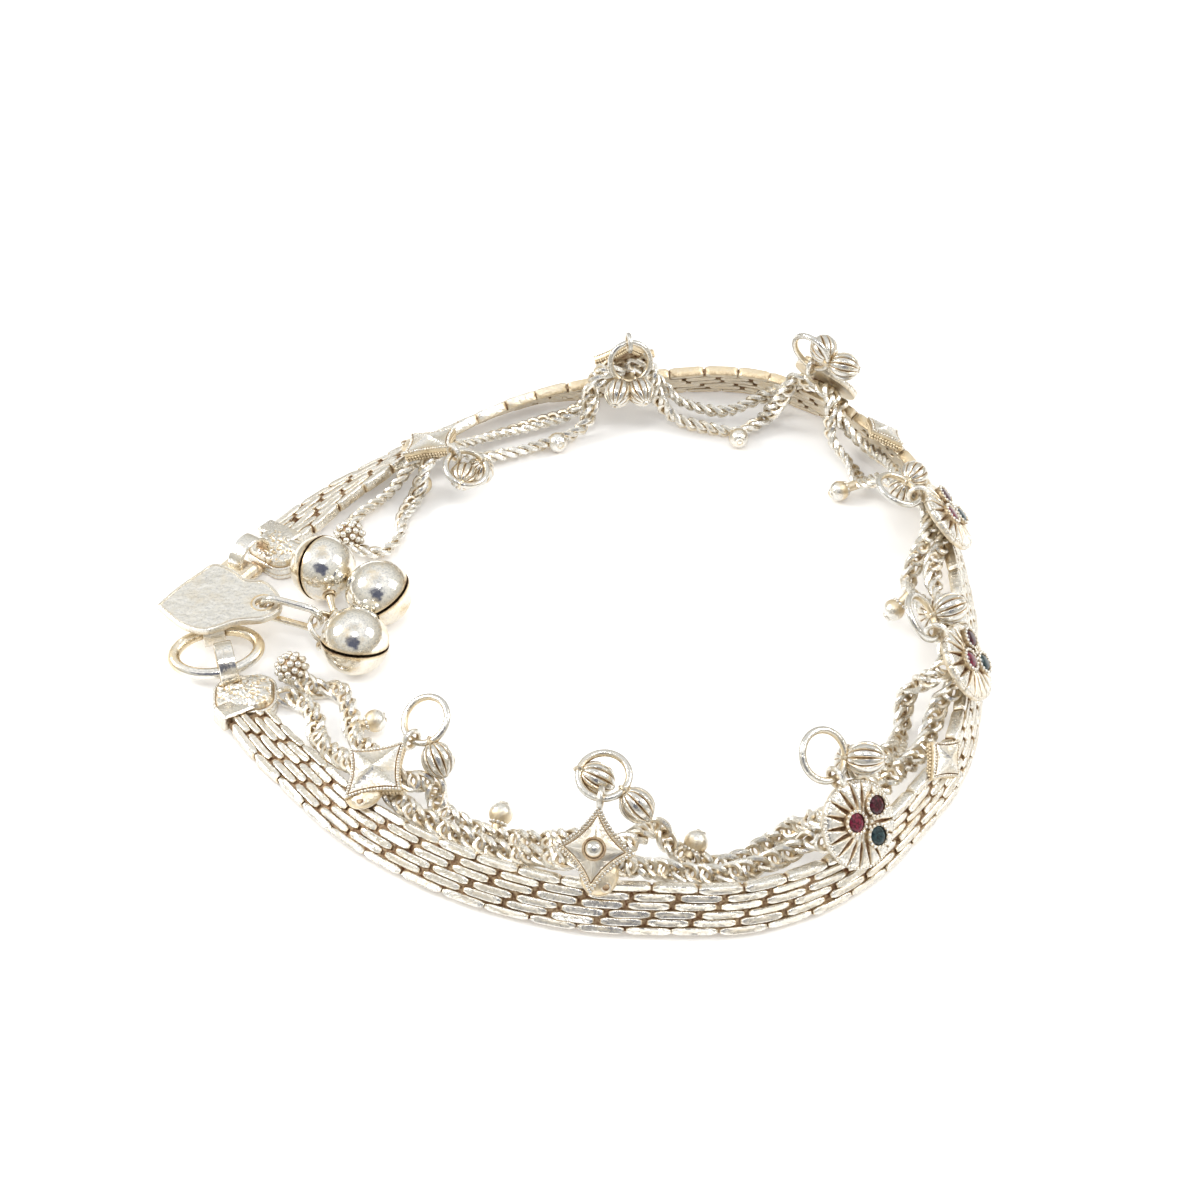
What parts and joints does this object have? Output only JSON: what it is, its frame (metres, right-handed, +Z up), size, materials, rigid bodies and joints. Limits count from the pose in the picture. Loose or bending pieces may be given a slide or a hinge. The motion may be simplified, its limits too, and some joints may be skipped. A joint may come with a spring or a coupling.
{
  "type": "filigree anklet",
  "caption": "Old silver filigree anklet: mesh-chain band with diamond and fan motifs, swagged rope chain, fluted drops, a heart-shaped hook clasp and round bells",
  "frame": {"origin": "the middle of the anklet's plan, on the surface it lies on", "axes": "+Z up from the surface; +X from the clasp across the loop to its far side; +Y completes the frame"},
  "size_m": [0.0855, 0.0823, 0.0152],
  "materials": {
    "silver": "worn polished silver, tarnished brown in its crevices",
    "dark_tarnish": "brown tarnish deep in the crevices",
    "red_stone": "wine-red polished glass stone",
    "teal_stone": "dark teal polished glass stone"
  },
  "bodies": {
    "root": {"band_chain": "silver", "front_cap": "silver", "back_cap": "silver", "front_flat_ring": "silver", "back_flat_ring": "silver", "clasp_ring": "silver", "heart_hook": "silver", "tag_ring": "silver", "bell_ring": "silver", "bell_1": "silver", "bell_2": "silver", "bell_3": "silver", "diamond_1": "silver", "boss_diamond_1": "silver", "fan_1": "silver", "small_diamond_1": "silver", "fan_2": "silver", "fan_3": "silver", "small_diamond_2": "silver", "fan_4": "silver", "boss_diamond_2": "silver", "diamond_2": "silver", "drop_1": "silver", "drop_2": "silver", "drop_3": "silver", "drop_4": "silver", "drop_5": "silver", "drop_6": "silver", "drop_7": "silver", "drop_8": "silver", "inner_swag_1": "silver", "inner_swag_2": "silver", "inner_swag_3": "silver", "inner_swag_4": "silver", "inner_swag_5": "silver", "inner_swag_6": "silver", "inner_swag_7": "silver", "inner_swag_8": "silver", "inner_swag_9": "silver", "outer_swag_1": "silver", "outer_swag_2": "silver", "outer_swag_3": "silver", "outer_swag_4": "silver", "outer_swag_5": "silver", "outer_swag_6": "silver", "outer_swag_7": "silver", "outer_swag_8": "silver", "outer_swag_9": "silver"}
  },
  "joints": []
}
